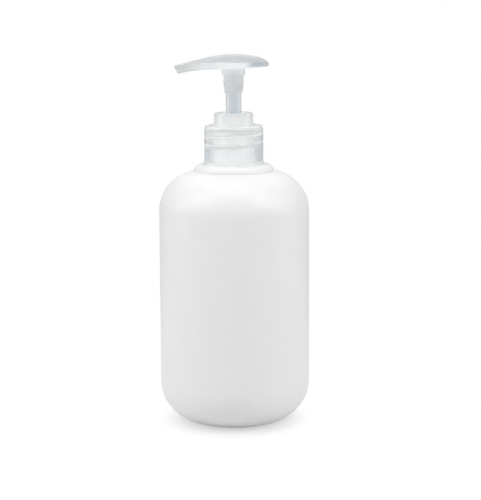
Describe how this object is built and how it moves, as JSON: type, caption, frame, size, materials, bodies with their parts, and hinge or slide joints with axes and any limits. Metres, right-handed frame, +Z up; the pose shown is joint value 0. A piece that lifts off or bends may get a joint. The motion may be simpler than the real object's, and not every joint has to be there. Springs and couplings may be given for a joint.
{
  "type": "pump oil bottle",
  "caption": "White cylindrical bottle with rounded shoulder and base and a clear screw-on pump whose domed head has a drooping spout, for massage oil or lotion.",
  "frame": {"origin": "on the bottle's axis, in the plane of the foot ring that it stands on", "axes": "+Z up along the bottle's axis, -X towards the spout's tip"},
  "size_m": [0.078, 0.078, 0.1914],
  "materials": {
    "bottle_hdpe": "satin blow-moulded white polyethylene",
    "pump_pp": "moulded natural polypropylene, milky and see-through",
    "piston_pe": "soft white polyethylene",
    "gasket_foam": "white foam seal",
    "tube_pe": "extruded natural polyethylene",
    "ball_glass": "polished",
    "spring_steel": "drawn stainless wire"
  },
  "bodies": {
    "bottle": {"bottle": "bottle_hdpe"},
    "pump_body": {"pump_housing": "pump_pp", "lock_ring": "pump_pp", "neck_gasket": "gasket_foam", "dip_tube": "tube_pe", "ball_cage": "pump_pp"},
    "closure": {"closure": "pump_pp"},
    "inlet_valve": {"inlet_ball": "ball_glass"},
    "spring": {"return_spring": "spring_steel"},
    "plunger": {"stem": "pump_pp", "poppet": "pump_pp", "actuator": "pump_pp"},
    "piston": {"piston": "piston_pe"}
  },
  "joints": [
    {"name": "pump_lift", "type": "slide", "parent": "bottle", "child": "pump_body", "axis": [0, 0, 1], "range_m": [0, 0.00635]},
    {"name": "closure_turn", "type": "hinge", "parent": "pump_body", "child": "closure", "pos_m": [0, 0, 0.145], "axis": [0, 0, 1], "range_deg": [0, 540.5]},
    {"name": "inlet_ball_lift", "type": "slide", "parent": "pump_body", "child": "inlet_valve", "axis": [0, 0, 1], "range_m": [0, 0.0015]},
    {"name": "head_swivel", "type": "hinge", "parent": "pump_body", "child": "spring", "pos_m": [0, 0, 0.15], "axis": [0, 0, 1], "continuous": true},
    {"name": "pump_stroke", "type": "slide", "parent": "spring", "child": "plunger", "axis": [0, 0, -1], "range_m": [0, 0.0125], "stiffness_N_per_m": 600, "springref_m": -0.004, "deforming": ["return_spring"]},
    {"name": "piston_slip", "type": "slide", "parent": "plunger", "child": "piston", "axis": [0, 0, 1], "range_m": [0, 0.0008]}
  ],
  "couplings": [
    {"joint": "closure_turn", "follows": "pump_lift", "rad_per_m": 1484.3}
  ]
}
